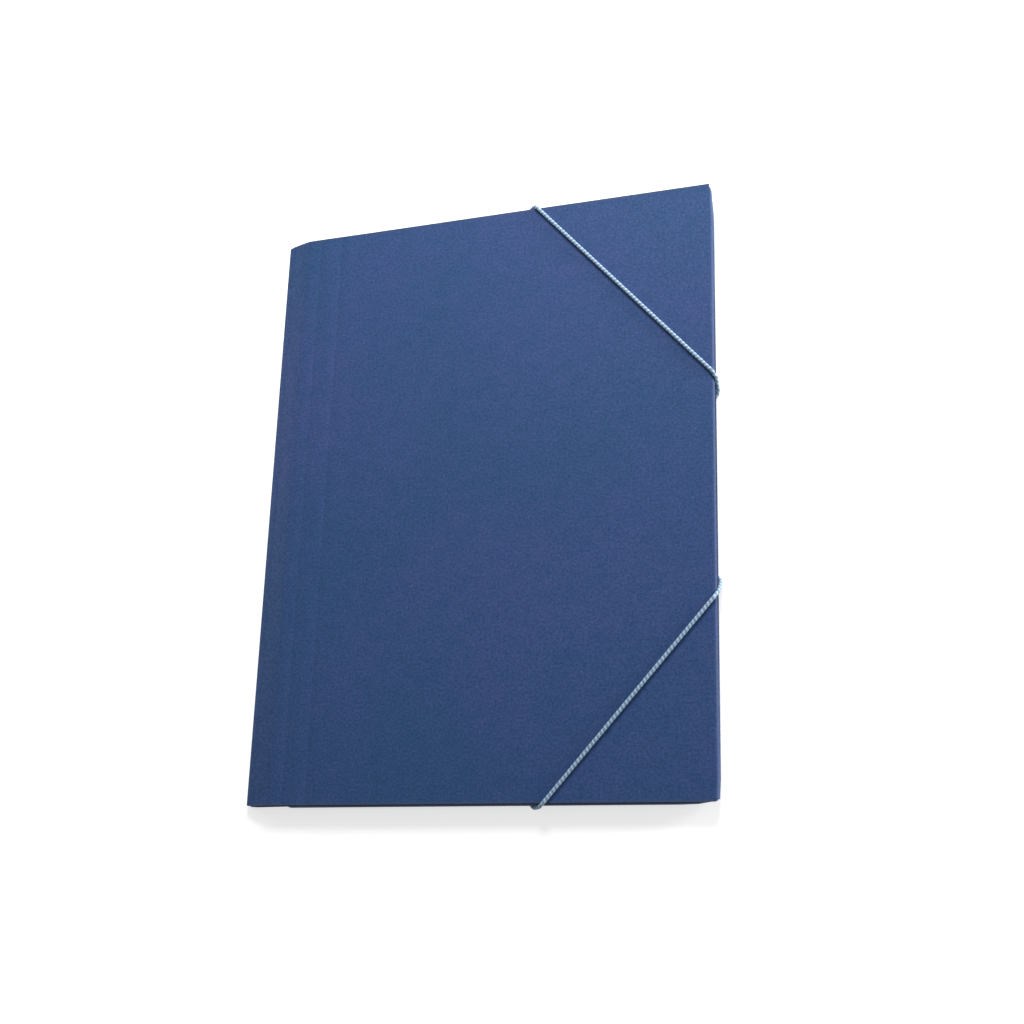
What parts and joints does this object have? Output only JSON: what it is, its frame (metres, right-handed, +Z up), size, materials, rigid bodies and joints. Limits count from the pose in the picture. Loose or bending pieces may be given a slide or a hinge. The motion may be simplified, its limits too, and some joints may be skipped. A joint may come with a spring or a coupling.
{
  "type": "elastic folder",
  "caption": "Closed pressboard document folder for A4 sheets, with a scored spine, turned-in flaps and round elastic cords across its fore-edge corners.",
  "frame": {"origin": "under the middle of the closed folder, on the surface that it lies on", "axes": "+X from the spine to the fore-edge, +Y from the bottom edge to the top edge, +Z up, from the back cover to the front cover"},
  "size_m": [0.2504, 0.3244, 0.0109],
  "materials": {
    "card": "matt navy pressboard with a fine mottled grain",
    "cord": "tightly braided pale blue elastic cord",
    "bar_steel": "plain pressed metal"
  },
  "bodies": {
    "root": {"folder_sheet": "card", "upper_elastic": "cord", "upper_elastic_top_bar": "bar_steel", "upper_elastic_side_bar": "bar_steel", "lower_elastic": "cord", "lower_elastic_bottom_bar": "bar_steel", "lower_elastic_side_bar": "bar_steel"}
  },
  "joints": []
}
